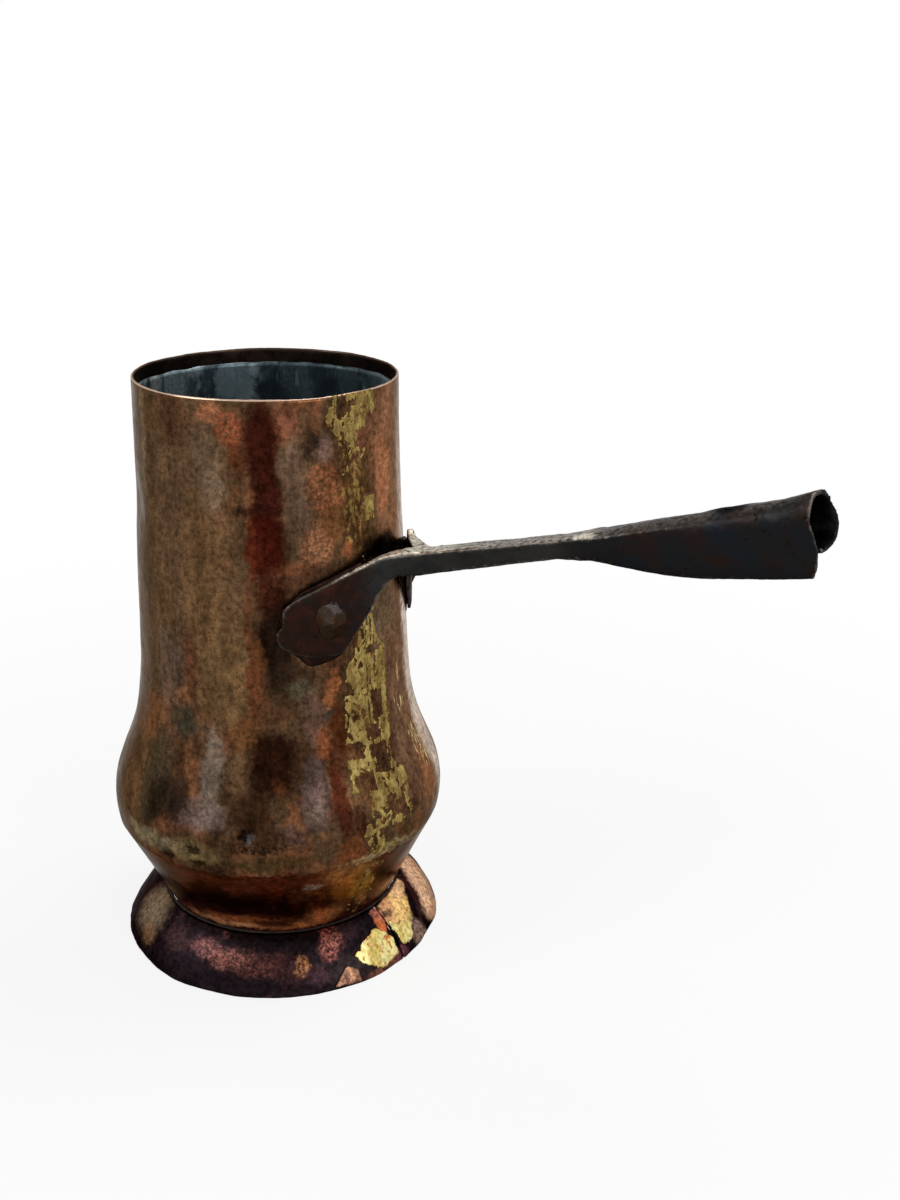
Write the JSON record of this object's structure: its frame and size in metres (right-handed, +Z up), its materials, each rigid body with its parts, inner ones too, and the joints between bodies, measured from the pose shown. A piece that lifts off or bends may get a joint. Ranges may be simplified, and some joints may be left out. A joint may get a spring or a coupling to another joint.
{
  "type": "chocolate pot",
  "caption": "Open copper chocolate pot with a flared foot and a forged iron side handle ending in a rolled socket for a wooden grip.",
  "frame": {"origin": "centre of the foot's resting circle, on the surface that the pot stands on", "axes": "+Z up through the mouth, +X along the handle, +Y to the right of someone who holds the handle and faces the pot"},
  "size_m": [0.2591, 0.1234, 0.215],
  "materials": {
    "copper_wall": "hammered copper with olive brown patina, rubbed redder in bands",
    "copper_base": "dull copper, smoke stained",
    "copper_foot": "purple brown oxidised copper with rubbed patches",
    "brass": "worn yellow brazing brass",
    "tin": "blue grey hand-wiped tin",
    "solder": "grey soft solder",
    "iron": "black forged iron, worn pale on the top edges",
    "iron_pad": "rusty sheet iron",
    "rivet_iron": "grey brown hammered rivet"
  },
  "bodies": {
    "root": {"body_wall": "copper_wall", "wall_seam_braze": "brass", "base_disc": "copper_base", "base_braze": "brass", "tin_lining": "tin", "foot_skirt": "copper_foot", "foot_seam_braze": "brass", "foot_patch": "copper_foot", "neck_solder": "solder", "left_lug_pad": "iron_pad", "right_lug_pad": "iron_pad", "handle_iron": "iron", "left_rivet": "rivet_iron", "right_rivet": "rivet_iron"}
  },
  "joints": []
}
